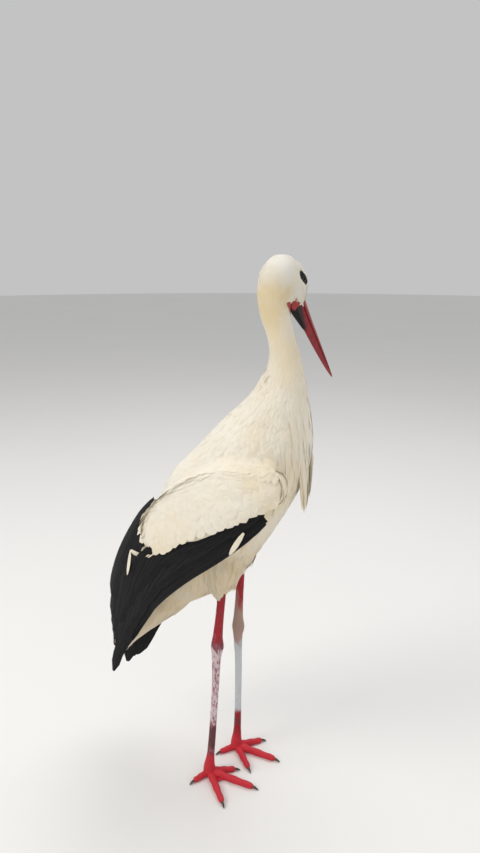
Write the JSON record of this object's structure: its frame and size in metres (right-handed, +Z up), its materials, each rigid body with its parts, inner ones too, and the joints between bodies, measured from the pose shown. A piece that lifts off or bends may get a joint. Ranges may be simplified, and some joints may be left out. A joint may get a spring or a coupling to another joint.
{
  "type": "white stork",
  "caption": "Life-size still model of an adult white stork standing on both feet, head turned to its left, red bill pointing down.",
  "frame": {"origin": "on the floor, under the middle of the bird's overall box", "axes": "+X the way the breast faces, +Y the bird's left, +Z up"},
  "size_m": [0.373, 0.2288, 0.925],
  "materials": {
    "plumage_white": "matt warm white feathers",
    "plumage_black": "matt black flight feathers with a faint sheen",
    "bill_horn": "satin crimson horn",
    "leg_skin": "scaly red skin, chalky where droppings have dried",
    "eye": "wet gloss, dark brown iris and black pupil",
    "claw_horn": "worn dark horn"
  },
  "bodies": {
    "root": {"head": "plumage_white", "bill_upper": "bill_horn", "bill_lower": "bill_horn", "eye_right": "eye", "eye_left": "eye", "neck": "plumage_white", "breast_ruff": "plumage_white", "trunk": "plumage_white", "tail": "plumage_white", "thigh_right": "plumage_white", "wing_right": "plumage_white", "secondaries_right": "plumage_black", "tertials_right": "plumage_black", "primaries_right": "plumage_black", "leg_right": "leg_skin", "foot_right": "leg_skin", "claw_middle_right": "claw_horn", "claw_outer_right": "claw_horn", "claw_inner_right": "claw_horn", "claw_hind_right": "claw_horn", "thigh_left": "plumage_white", "wing_left": "plumage_white", "secondaries_left": "plumage_black", "tertials_left": "plumage_black", "primaries_left": "plumage_black", "leg_left": "leg_skin", "foot_left": "leg_skin", "claw_middle_left": "claw_horn", "claw_outer_left": "claw_horn", "claw_inner_left": "claw_horn", "claw_hind_left": "claw_horn"}
  },
  "joints": []
}
